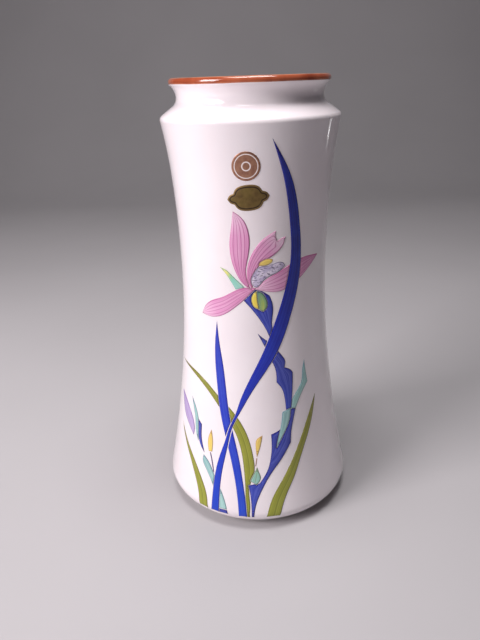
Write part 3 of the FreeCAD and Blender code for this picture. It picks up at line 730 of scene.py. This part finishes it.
CALYX_TEAL = enamel(
    "enamel_calyx_teal",
    [(0.0, rgb(150, 190, 160)), (1.0, rgb(160, 210, 200))],
    rgb(120, 168, 160), rgb(110, 118, 84), 5.0, 0.6, 0.4, 0.8, middle=rgb(122, 140, 96),
)
BRACT = enamel(
    "enamel_bract",
    [(0.0, rgb(232, 220, 120)), (0.32, rgb(240, 226, 110)), (0.5, rgb(132, 206, 150)),
     (0.62, rgb(110, 200, 190)), (1.0, rgb(150, 206, 202))],
    rgb(196, 222, 188), rgb(96, 150, 132), 6.0, 0.4, 0.35, 0.6,
)
STALK = enamel(
    "enamel_stalk",
    [(0.0, rgb(150, 106, 60)), (1.0, rgb(166, 128, 84))],
    rgb(180, 140, 90), rgb(110, 70, 50), 3.0, 0.3, 0.2, 0.4,
)
STALK_DARK = enamel(
    "enamel_stalk_dark",
    [(0.0, rgb(66, 44, 96)), (1.0, rgb(86, 66, 126))],
    rgb(110, 92, 150), rgb(50, 30, 70), 3.0, 0.3, 0.2, 0.4,
)
GILT, FOIL = gilding(), label_foil()


# ---------------------------------------------------------------- the vessel
def uneven_band_edge(radius, up, angle):
    """The brown glaze stops at a slightly wandering line, outside and inside the lip."""
    if up > 246.9:
        return radius, up
    place = Vector((math.sin(angle), math.cos(angle), up * 0.01)) * 3.0
    return radius, up + 0.22 * noise.noise(place)


clay_ring = (walk(outer_joints, outer_centres, -GLAZE) + walk(band_joints, band_centres, -GLAZE)[1:]
             + walk(inner_joints, inner_centres, -GLAZE)[1:])
ceiling = UNDERSIDE + GLAZE


def foot_ring():
    joints = [
        (0, ceiling, None),
        (RING_INNER - RING_FILLET, ceiling, None),
        (RING_INNER, ceiling - RING_FILLET, (RING_INNER - RING_FILLET, ceiling - RING_FILLET)),
        (RING_INNER, RING_ROUND, None),
        (RING_INNER + RING_ROUND, 0, (RING_INNER + RING_ROUND, RING_ROUND)),
        (RING_OUTER - RING_ROUND, 0, None),
        (RING_OUTER, RING_ROUND, (RING_OUTER - RING_ROUND, RING_ROUND)),
        (RING_OUTER, ceiling - RING_FILLET, None),
        (RING_OUTER + RING_FILLET, ceiling, (RING_OUTER + RING_FILLET, ceiling - RING_FILLET)),
    ]
    places = [(vec(across, up), Vector((0, 0))) for across, up, _ in joints]
    centres = [vec(*centre) if centre else None for _, _, centre in joints[1:]]
    return walk(places, centres, 0, step=3.0, turn=math.radians(20))


turned("vase_body", clay_ring + foot_ring(), BISCUIT, ["porcelain_body"])
turned("vase_glaze_outside", layer(outer_joints, outer_centres, -GLAZE, 0), WHITE_GLAZE,
       ["outer_glaze"])
turned("vase_rim_band", layer(band_joints, band_centres, -GLAZE, 0), RIM_BROWN, ["rim_band"],
       sway=uneven_band_edge)
turned("vase_glaze_inside", layer(inner_joints, inner_centres, -GLAZE, 0), WHITE_GLAZE,
       ["inner_glaze"])
base_disc = [vec(0, ceiling), vec(RING_INNER - RING_FILLET, ceiling),
             vec(RING_INNER - RING_FILLET, UNDERSIDE), vec(0, UNDERSIDE)]
turned("vase_glaze_base", base_disc, WHITE_GLAZE, ["base_glaze"])


# ---------------------------------------------------------------- the painting, front patches first
patch("leaf_tall_blue", 0, [
    [(10, 222.5), (15.4, 204), (18.8, 180), (19.4, 165), (17.2, 149), (11.9, 131), (3.3, 109),
     (-9.5, 81), (-12.6, 72), (-15.6, 65.3), (-18.3, 57), (-22.7, 44), (-26.8, 25), (-29, 6)],
    [(-24.2, 6), (-23.2, 20), (-20.8, 37), (-17.2, 52.6), (-13.6, 66.1), (-9.4, 74.6), (-1.9, 88.4),
     (11.8, 110), (19.3, 129.6), (23.3, 146), (24.8, 164), (23.9, 180), (18.8, 205.3), (10, 222.5)],
], BLUE)
patch("leaf_short_blue", 0, [
    [(-20.4, 128), (-22, 115), (-22.4, 104), (-21.8, 87.5), (-20.4, 71), (-18.2, 58.8), (-13.9, 35),
     (-12.2, 18), (-11.8, 6)],
    [(-6.9, 6), (-7.6, 20), (-8.8, 31), (-10.5, 44.6), (-15.3, 71.2), (-17.9, 101.7), (-19.5, 115),
     (-20.4, 128)],
], BLUE_PALE, under=["leaf_tall_blue"], gap=CROSSING_GAP)
patch("sheath_teal", 0, [
    [(14.5, 74), (19.5, 75.4)],
    [(19.5, 75.4), (18.4, 67.6), (14.2, 58.4), (11.1, 52.4)],
    [(11.1, 52.4), (12, 58), (13.3, 63.7), (14.5, 74)],
], TEAL, spine=[(17.5, 74), (15.5, 64), (11.1, 52.4)])
patch("bud_right_calyx", 0, [
    [(-0.4, 41.5), (-2.5, 37), (-4.6, 32.6)],
    [(-4.6, 32.6), (-0.8, 30.3)],
    [(-0.8, 30.3), (1.6, 34.6), (0.6, 38.5), (-0.4, 41.5)],
], CALYX_TEAL)
patch("stem_lower", 0, [
    [(22.3, 74.4), (21, 68), (19.9, 62), (19.4, 54.3)],
    [(19.4, 54.3), (14.2, 45.6), (8.1, 37.4), (2.1, 26.6), (-1.9, 15.5), (-3, 6)],
    [(-4.2, 6), (-4.2, 14), (-4.6, 22.5), (-5.6, 29.9)],
    [(-5.6, 29.9), (-0.8, 31), (0.8, 31.2)],
    [(0.8, 31.2), (5.2, 38.3), (7.5, 46.5), (8.2, 55), (7.9, 61.2)],
    [(7.9, 61.2), (13, 63.5), (19.4, 74.8)],
], VIOLET, under=["sheath_teal", "bud_right_calyx"],
    spine=[(21, 74), (15, 60), (9, 48), (2, 33), (-3.4, 18), (-3.6, 6)])
patch("leaf_bent_green", -35, [
    [(-28.2, 93.8), (-9.8, 92.4), (-1.7, 88.7), (4.6, 83.8), (12.3, 77.5), (22.9, 62.1), (27.2, 48),
     (28.4, 37), (26.9, 28.4), (28.3, 17.9), (28.5, 6)],
    [(25.9, 6), (25.6, 19.4), (24.5, 30.1), (22.9, 41), (15.7, 64.3), (5.9, 76.9), (-1, 83.7),
     (-14.1, 91), (-28.2, 93.8)],
], GREEN, under=["leaf_tall_blue", "leaf_short_blue", "stem_lower", "bud_right_calyx"])
patch("leaf_left_green", -50, [
    [(-13.6, 53.4), (-7.5, 44.3), (0, 34.5), (5.8, 25.5), (10.4, 15), (12, 6)],
    [(18.2, 6), (16.3, 17), (10.5, 27.5), (2.7, 37), (-7, 46.5), (-13.6, 53.4)],
], GREEN)
patch("leaf_right_green", 20, [
    [(21.3, 78.5), (16.1, 68.9), (10.6, 58.1), (3.8, 45.4), (-4.7, 31.7), (-10.9, 21.9), (-16.4, 6)],
    [(-8.4, 6), (-3, 21.3), (3.3, 32.5), (8.6, 43.9), (14.7, 56.5), (18.9, 67.7), (21.3, 78.5)],
], GREEN)
patch("bract_middle", 0, [
    [(10.5, 113.5), (15.1, 107.1), (16.2, 104.9), (16, 100.6)],
    [(16, 100.6), (19.3, 98.5), (20.7, 96.5)],
    [(20.7, 96.5), (20.5, 87), (19.7, 75.3)],
    [(19.7, 75.3), (16.7, 74.2)],
    [(16.7, 74.2), (15.9, 82.3), (14, 88.8), (11.4, 92.5)],
    [(11.4, 92.5), (11.2, 98), (8.9, 105.2), (5, 110)],
], VIOLET, under=["leaf_tall_blue", "sheath_teal"],
    spine=[(7, 112), (13, 103), (17, 92), (18.3, 76)])
patch("sprig_teal", 20, [
    [(13.8, 102.2), (12.2, 95.7), (11.2, 89.2), (7.4, 84), (4.3, 79.5)],
    [(4.3, 79.5), (3.6, 75)],
    [(6.7, 74.3), (10.8, 81.8), (15.7, 88.1)],
    [(15.7, 88.1), (14.7, 94.8), (13.8, 102.2)],
], TEAL, under=["bract_middle", "stem_lower", "sheath_teal"],
    spine=[(13.8, 102.2), (13, 90), (5.8, 76)])
patch("bud_right_yellow", 0, [
    [(3, 61), (-0.2, 58.9), (-1, 54.5), (-0.7, 50), (-0.4, 47.5)],
    [(-0.4, 47.5), (1.8, 54.5), (3, 61)],
], YELLOW)
patch("bud_right_stalk", 0, [
    [(-0.7, 47), (-1.5, 42)],
    [(-1, 42), (-0.2, 47)],
], STALK, under=["bud_right_calyx"])

patch("flower_lip", 0, [
    [(-0.7, 149.3), (-1.3, 151.6), (0.7, 156.8), (2.5, 158.9), (7.4, 159.7), (12.8, 161.1), (15.5, 160.3),
     (16.3, 158.9)],
    [(16.3, 158.9), (15.1, 157.4), (7.7, 153.5), (4.8, 151.3), (1.3, 148.1), (-0.7, 149.3)],
], LIP)
patch("flower_crest_yellow", 0, [
    [(2.7, 159.8), (3.4, 161.5), (5, 162.6), (7.8, 163.3), (9.8, 162.9)],
    [(9.8, 162.9), (9.7, 161.6), (8.1, 160.4), (5.3, 159.7), (2.7, 159.8)],
], YELLOW, under=["flower_lip"])
patch("petal_upper_left", 0, [
    [(-9.6, 188.2), (-5.1, 184.7), (-2.2, 178.5), (-1.6, 171.5), (-3, 162.7), (-3.9, 157), (-3.2, 151.7),
     (-1.8, 147.3)],
    [(-1.8, 147.3), (-5, 149.6), (-8.9, 155.6), (-11.4, 164), (-11.8, 172.5), (-10.7, 180),
     (-9.6, 188.2)],
], PINK)
patch("petal_upper_right", 0, [
    [(11.6, 177.6), (5.8, 174.3), (1, 169.1), (-2.4, 162), (-3.5, 155), (-2.7, 150.5), (-1.1, 147.3)],
    [(-1.1, 147.3), (0.5, 152), (2.4, 159), (6.5, 162.6), (11.4, 165.6), (15.2, 169.8), (16.6, 174.2)],
    [(16.6, 174.2), (14, 173.2), (12.4, 172.2)],
    [(12.4, 172.2), (11.6, 174.5), (11.6, 177.6)],
], PINK, under=["petal_upper_left", "flower_lip", "flower_crest_yellow"],
    spine=[(13.5, 174.5), (7, 170), (1.5, 163), (-1.5, 156), (-1.7, 147.9)])
patch("petal_lower_left", 0, [
    [(-28.5, 130.3), (-26.3, 135.5), (-22.5, 139.3), (-17, 142), (-9.4, 146.5), (-3, 148.2), (1.3, 147.8)],
    [(1.3, 147.8), (-2.4, 144.2), (-5.3, 141.2), (-9.7, 137.2), (-14.2, 133.5), (-17.4, 131.5),
     (-23, 129.7), (-28.5, 130.3)],
], PINK, under=["petal_upper_left", "petal_upper_right", "flower_lip"])
patch("petal_right", 20, [
    [(-14, 148.3), (-9.7, 151.1), (-5.4, 153.9), (-0.3, 156.4), (3.8, 158.4), (12.7, 161.2),
     (24.2, 160.4)],
    [(24.2, 160.4), (18.7, 155.8), (11.8, 150.6), (6.5, 147.4), (2, 145.6), (-3, 144.9), (-7.6, 145.5),
     (-13.4, 147)],
], PINK, under=["leaf_tall_blue", "flower_lip", "petal_lower_left"])
patch("bract_left", 0, [
    [(-17.5, 158.6), (-14, 157.2), (-11.6, 155), (-8.5, 151.9), (-4.7, 148.1)],
    [(-4.7, 148.1), (-9.5, 146.9)],
    [(-9.5, 146.9), (-12.4, 152.1), (-14.6, 155.4), (-17.5, 158.6)],
], BRACT, under=["petal_upper_left", "petal_lower_left"],
    spine=[(-17.5, 158.4), (-12, 153.6), (-7, 147.6)])
patch("calyx_yellow", 0, [
    [(1.5, 146.2), (-0.2, 145), (-1.3, 142.7), (-1.2, 139.7), (0.3, 137), (2.6, 135.9)],
    [(2.6, 135.9), (1.7, 141), (1.5, 146.2)],
], CALYX_YELLOW, under=["petal_lower_left", "petal_right"])
patch("calyx_green", 0, [
    [(1.2, 146.2), (4, 145.2), (5.8, 142.8), (6.9, 139.3), (6.2, 135.9), (4.6, 134.5)],
    [(4.6, 134.5), (2.4, 135.8)],
    [(2.4, 135.8), (1.4, 141), (1.2, 146.2)],
], SAGE, under=["calyx_yellow", "petal_right"], spine=[(3, 145.6), (4.6, 140), (4.6, 134)])
patch("stem_upper", 0, [
    [(-6.4, 141.8), (-1.7, 136.4), (2.5, 130.4), (6.7, 122.6), (8.6, 117)],
    [(8.6, 117), (12, 119)],
    [(12, 119), (9.3, 126), (9.9, 134.8), (9.4, 139.5), (8, 143.3)],
    [(8, 143.3), (1, 147), (-6.4, 141.8)],
], VIOLET,
    under=["leaf_tall_blue", "petal_lower_left", "petal_right", "calyx_yellow", "calyx_green"],
    spine=[(0, 146), (4, 134), (8, 124), (10, 117.6)])
patch("stem_thorn", 0, [
    [(1.4, 122.2), (4.5, 119.2), (9.2, 115.6)],
    [(9.2, 115.6), (7, 110)],
    [(7, 110), (5.2, 114.2), (3.4, 118), (1.4, 122.2)],
], VIOLET, under=["leaf_tall_blue"], gap=CROSSING_GAP, spine=[(1.4, 122.2), (8, 112.8)])

patch("bud_left_lavender", -50, [
    [(-16.3, 73.5), (-13.8, 66), (-10.5, 60.5), (-4.5, 55.5), (0.7, 51.3)],
    [(0.7, 51.3), (1.2, 56), (-0.3, 60.6), (-5, 66.5), (-11, 71.3), (-16.3, 73.5)],
], LAVENDER)
patch("sheath_left_blue", -50, [
    [(4.2, 63.6), (7.3, 61.2)],
    [(7.3, 61.2), (7.9, 53), (11.2, 44)],
    [(11.2, 44), (7.6, 47.5), (5.4, 52), (4.7, 57.5), (4.2, 63.6)],
], VIOLET, spine=[(5.6, 62.4), (6.4, 53), (11.2, 44)])
patch("sheath_left_teal", -50, [
    [(-3.3, 75.6), (0.6, 71), (4, 64.3), (5, 57), (5.4, 49.4)],
    [(5.4, 49.4), (2.9, 54), (1.2, 62.5), (-1.2, 70), (-3.3, 75.6)],
], TEAL, under=["sheath_left_blue", "bud_left_lavender"])
patch("stem_left_teal", -50, [
    [(10.6, 42.8), (14.8, 39.6), (19.3, 32.6), (25.1, 23.2), (28.6, 15.3), (29.6, 12.6)],
    [(29.6, 12.6), (24.1, 12.6)],
    [(24.1, 12.6), (20, 24.2), (15.8, 31.2), (12.6, 35.2), (10.3, 39), (10.6, 42.8)],
], TEAL, under=["leaf_tall_blue", "sheath_left_blue"],
    spine=[(10.6, 41), (16, 34), (22, 25), (26.8, 12.6)])
patch("stem_left_foot", -50, [
    [(24.2, 12.2), (29.7, 12.2)],
    [(29.7, 12.2), (30.8, 6)],
    [(25.4, 6), (24.2, 12.2)],
], VIOLET, under=["leaf_tall_blue"])
patch("bud_left_yellow", -50, [
    [(14.6, 60.6), (12.8, 53.4), (14, 46.4)],
    [(14, 46.4), (16.4, 46.7)],
    [(16.4, 46.7), (16.2, 53.7), (14.6, 60.6)],
], YELLOW, spine=[(14.6, 60.6), (15.2, 46.6)])
patch("bud_left_stalk", -50, [
    [(14.9, 45.8), (16.8, 40), (18.4, 34)],
    [(19.1, 34), (17.5, 40.3), (15.6, 45.8)],
], STALK_DARK, under=["stem_left_teal"])

roundel_flat = unrolled([(ROUNDEL_SIDE, ROUNDEL_HEIGHT)], 0)[0]


def roundel_relief(x, y):
    reach = math.hypot(x - roundel_flat[0], y - roundel_flat[1])
    groove = (math.exp(-((reach - WIDE_GROOVE) / 0.3) ** 2)
              + math.exp(-((reach - NARROW_GROOVE) / 0.35) ** 2))
    return 0.05 * math.cos(reach / ROUNDEL_RADIUS * math.pi / 2) - 0.12 * groove


circle = [(ROUNDEL_SIDE + ROUNDEL_RADIUS * math.cos(math.radians(a)),
           ROUNDEL_HEIGHT + ROUNDEL_RADIUS * math.sin(math.radians(a))) for a in range(0, 361, 10)]
patch("gilt_roundel", 0, [circle], GILT, relief=roundel_relief)

LABEL_SIDE, LABEL_HEIGHT, LABEL_TILT = -1.7, 194.8, 5.0
quarter = [[(10.3, 0), (9, 1.9), (7.1, 2.7)], [(7.1, 2.7), (5.7, 4.9), (3.1, 6.1), (0, 6.4)]]
half = quarter + [[(-across, up) for across, up in stroke[::-1]] for stroke in quarter[::-1]]
whole = half + [[(-across, -up) for across, up in stroke] for stroke in half]
tilt = direction(LABEL_TILT)
placed = [[(LABEL_SIDE + across * tilt.x - up * tilt.y, LABEL_HEIGHT + across * tilt.y + up * tilt.x)
           for across, up in stroke] for stroke in whole]
patch("foil_label", 0, placed, FOIL)


# ---------------------------------------------------------------- floor, light and camera
def plain_floor():
    n = Nodes("studio_floor")
    pale = n.steps(n.noise(n.place(), 3.0), (0.3, rgb(178, 176, 178)), (0.7, rgb(184, 182, 184)))
    n.link(pale, "Base Color")
    n.set(Roughness=0.8)
    mesh = bpy.data.meshes.new("studio_floor")
    profile = [(-1.6, 0.0)] + [(0.9 + 0.6 * math.sin(a), 0.6 - 0.6 * math.cos(a))
                               for a in np.linspace(0, math.pi / 2, 13)] + [(1.5, 2.2)]
    verts = [(x, y, z) for y, z in profile for x in (-2.4, 2.4)]
    mesh.from_pydata(verts, [], [(2 * k, 2 * k + 1, 2 * k + 3, 2 * k + 2) for k in range(len(profile) - 1)])
    mesh.shade_smooth()
    mesh.materials.append(n.material)
    floor = bpy.data.objects.new("studio_floor", mesh)
    bpy.context.scene.collection.objects.link(floor)


def soft_light(name, place, target, width, height, power, colour=(1, 1, 1)):
    data = bpy.data.lights.new(name, "AREA")
    data.shape, data.size, data.size_y = "RECTANGLE", width, height
    data.energy, data.color = power, colour
    light = bpy.data.objects.new(name, data)
    bpy.context.scene.collection.objects.link(light)
    aim = Vector(target) - Vector(place)
    light.matrix_world = Matrix.Translation(place) @ aim.to_track_quat("-Z", "Y").to_matrix().to_4x4()


plain_floor()
soft_light("key", (-0.80, -0.50, 0.62), (0, 0, 0.15), 0.45, 0.6, 12.5, (1.0, 0.94, 0.955))
soft_light("top", (0.02, -0.05, 0.95), (0, 0, 0.2), 0.45, 0.35, 6.0, (1.0, 0.96, 0.97))
soft_light("side_strip", (0.372, 0.174, 0.140), (0.0375, -0.0258, 0.215), 0.004, 0.028, 0.006)
world = bpy.data.worlds.new("studio")
world.use_nodes = True
world.node_tree.nodes["Background"].inputs[0].default_value = (0.84, 0.80, 0.88, 1)
world.node_tree.nodes["Background"].inputs[1].default_value = 0.05
bpy.context.scene.world = world
bpy.context.scene.view_settings.view_transform = "Standard"

CAMERA_PLACE = Vector((0, -0.3150, 0.2487))
pitch, roll, yaw = math.radians(23.48), math.radians(1.90), math.radians(-1.63)
ahead = Vector((math.sin(yaw) * math.cos(pitch), math.cos(yaw) * math.cos(pitch), -math.sin(pitch)))
right = Vector((math.cos(yaw), -math.sin(yaw), 0))
up = right.cross(ahead)
camera_x = right * math.cos(roll) - up * math.sin(roll)
camera_y = right * math.sin(roll) + up * math.cos(roll)
camera = bpy.data.objects.new("camera", bpy.data.cameras.new("camera"))
camera.data.lens, camera.data.sensor_width = 31.5, 36.0
camera.data.clip_start = 0.01
camera.matrix_world = Matrix.Translation(CAMERA_PLACE) @ Matrix(
    (camera_x, camera_y, -ahead)).transposed().to_4x4()
bpy.context.scene.collection.objects.link(camera)
bpy.context.scene.camera = camera
